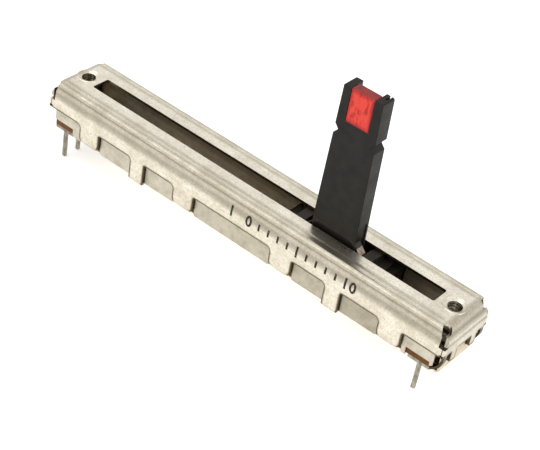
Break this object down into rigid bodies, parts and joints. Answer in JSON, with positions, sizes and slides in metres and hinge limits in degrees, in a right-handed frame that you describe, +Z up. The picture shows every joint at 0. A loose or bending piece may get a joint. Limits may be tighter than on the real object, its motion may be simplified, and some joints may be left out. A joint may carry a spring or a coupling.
{
  "type": "slide potentiometer",
  "caption": "Long narrow slide potentiometer in a folded sheet-metal case, with a tall flat lever that carries a rectangular light, tapped mounting holes and solder pins.",
  "frame": {"origin": "centre of the bounding box seen from above, at the height of the pin tips", "axes": "+X along the lever's travel towards the end where the lever rests near, +Z up out of the slot"},
  "size_m": [0.0864, 0.0122, 0.0427],
  "materials": {
    "cover_steel": "plated sheet, satin",
    "tray_steel": "plated sheet, dull",
    "laminate": "brown phenolic paper laminate",
    "carbon_film": "printed carbon film",
    "silver_film": "printed silver film",
    "pin_metal": "tin-plated brass",
    "black_moulding": "moulded, fine grain",
    "light_red": "clear red resin",
    "light_chip": "sawn chip",
    "lead_metal": "tin-plated ribbon",
    "spring_bronze": "phosphor bronze sheet",
    "spring_steel": "spring steel sheet"
  },
  "bodies": {
    "housing": {"top_cover": "cover_steel", "bottom_tray": "tray_steel", "element_board": "laminate", "resistive_track": "carbon_film", "collector_track": "silver_film", "led_cathode_track": "silver_film", "led_anode_track": "silver_film", "terminal_start": "pin_metal", "terminal_wiper": "pin_metal", "terminal_led_cathode": "pin_metal", "terminal_end": "pin_metal", "terminal_led_anode": "pin_metal", "eyelet_start": "pin_metal", "eyelet_wiper": "pin_metal", "eyelet_led_cathode": "pin_metal", "eyelet_end": "pin_metal", "eyelet_led_anode": "pin_metal"},
    "slider": {"carriage": "black_moulding", "lever": "black_moulding", "led_body": "light_red", "led_chip": "light_chip", "led_lead_cathode": "lead_metal", "led_lead_anode": "lead_metal", "wiper": "spring_bronze", "led_brush_cathode": "spring_bronze", "led_brush_anode": "spring_bronze", "drag_spring": "spring_steel"}
  },
  "joints": [
    {"name": "lever_travel", "type": "slide", "parent": "housing", "child": "slider", "axis": [1, 0, 0], "range_m": [-0.04675, 0.01325]}
  ]
}
